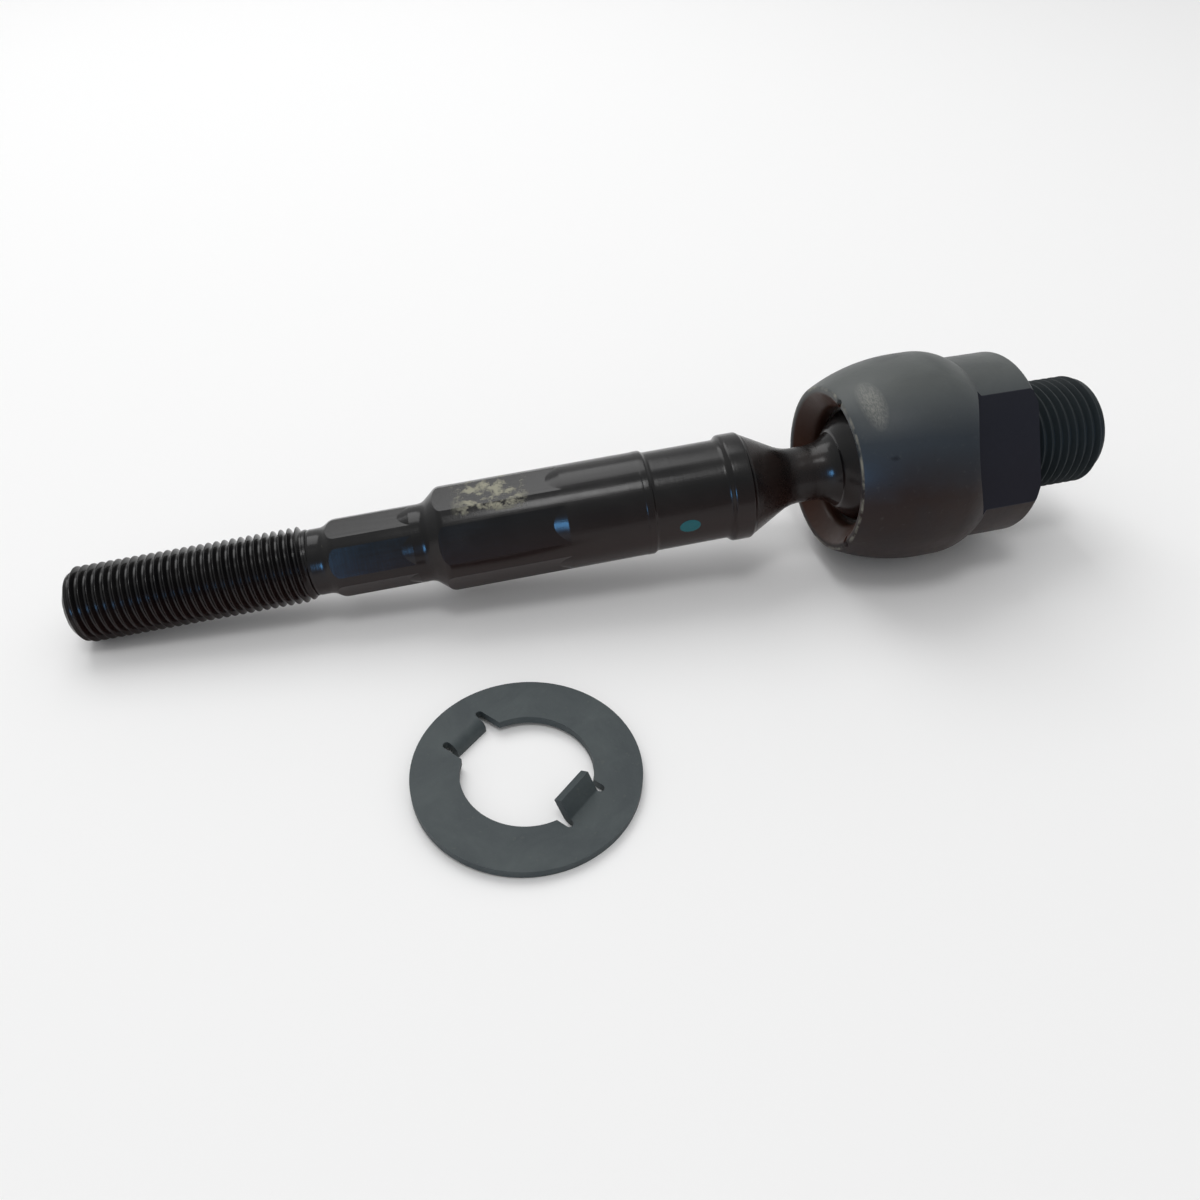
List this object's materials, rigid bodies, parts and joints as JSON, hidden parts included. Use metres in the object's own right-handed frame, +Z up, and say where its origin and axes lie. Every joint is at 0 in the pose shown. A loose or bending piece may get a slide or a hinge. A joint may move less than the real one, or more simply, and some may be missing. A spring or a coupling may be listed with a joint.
{
  "type": "inner tie rod",
  "caption": "Steering rack inner tie rod: threaded rod with hexagons and collar, ball in a forged socket housing with rack stud and wrench flats, and a tabbed lock washer.",
  "frame": {"origin": "centre of the housing's shoulder face, on the axis of the rack stud", "axes": "+X along the housing axis towards the free end of the rack stud, +Z up, the lock washer on the -Y side"},
  "size_m": [0.1658, 0.0679, 0.0334],
  "materials": {
    "housing_coat": "satin dark blue-grey coat on forged steel",
    "rod_coat": "glossy black coat on turned steel",
    "seat_resin": "dark resin wet with grease",
    "washer_coat": "matt grey-green phosphate on sheet steel"
  },
  "bodies": {
    "rod": {"tie_rod": "rod_coat", "lock_washer": "washer_coat"},
    "seat": {"ball_seat": "seat_resin"},
    "socket": {"socket_housing": "housing_coat"}
  },
  "joints": [
    {"name": "ball_swing", "type": "hinge", "parent": "rod", "child": "seat", "pos_m": [-0.0214, 0, 0], "axis": [0, 0.7076, 0.7066], "range_deg": [-28.8, 15.2]},
    {"name": "housing_turn", "type": "hinge", "parent": "seat", "child": "socket", "pos_m": [-0.0214, 0, 0], "axis": [1, 0, 0], "continuous": true}
  ]
}
